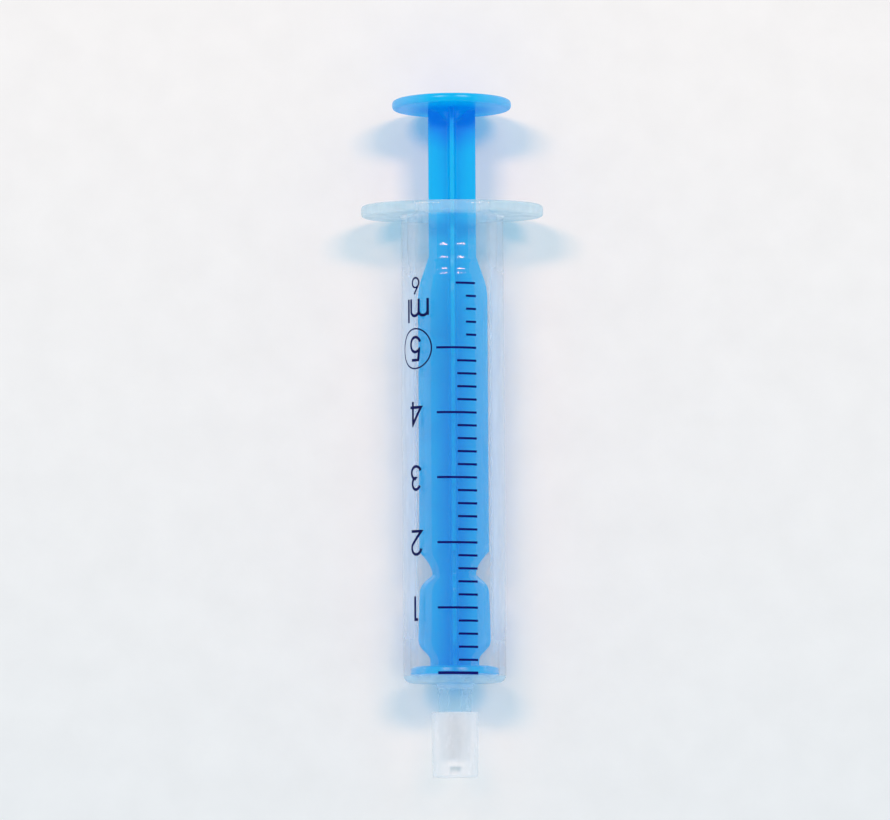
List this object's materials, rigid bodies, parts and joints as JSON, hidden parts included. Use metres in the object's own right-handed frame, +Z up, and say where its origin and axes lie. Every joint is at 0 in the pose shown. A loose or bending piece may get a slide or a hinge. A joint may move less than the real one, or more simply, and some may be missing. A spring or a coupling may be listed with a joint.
{
  "type": "oral syringe",
  "caption": "Clear graduated dosing syringe with an oval finger flange, a blue cross-ribbed plunger that slides in its bore, and a push-on cap over the tapered tip.",
  "frame": {"origin": "under the middle of the length, level with the thumb disc's lowest point", "axes": "+Y along the syringe's axis towards the thumb disc, +Z up, the finger flange's long way along X, the printed scale facing up"},
  "size_m": [0.0248, 0.0922, 0.0162],
  "materials": {
    "clear_plastic": "clear polypropylene, smooth, slightly hazy",
    "blue_plastic": "bright blue moulded polypropylene, satin",
    "milky_plastic": "translucent natural polyethylene, satin",
    "scale_ink": "printed dark ink"
  },
  "bodies": {
    "barrel": {"barrel": "clear_plastic"},
    "plunger": {"plunger": "blue_plastic"},
    "tip_cap": {"tip_cap": "milky_plastic"}
  },
  "joints": [
    {"name": "plunger_slide", "type": "slide", "parent": "barrel", "child": "plunger", "axis": [0, 1, 0], "range_m": [0, 0.0525]},
    {"name": "cap_pull", "type": "slide", "parent": "barrel", "child": "tip_cap", "axis": [0, -1, 0], "range_m": [0, 0.016]}
  ]
}
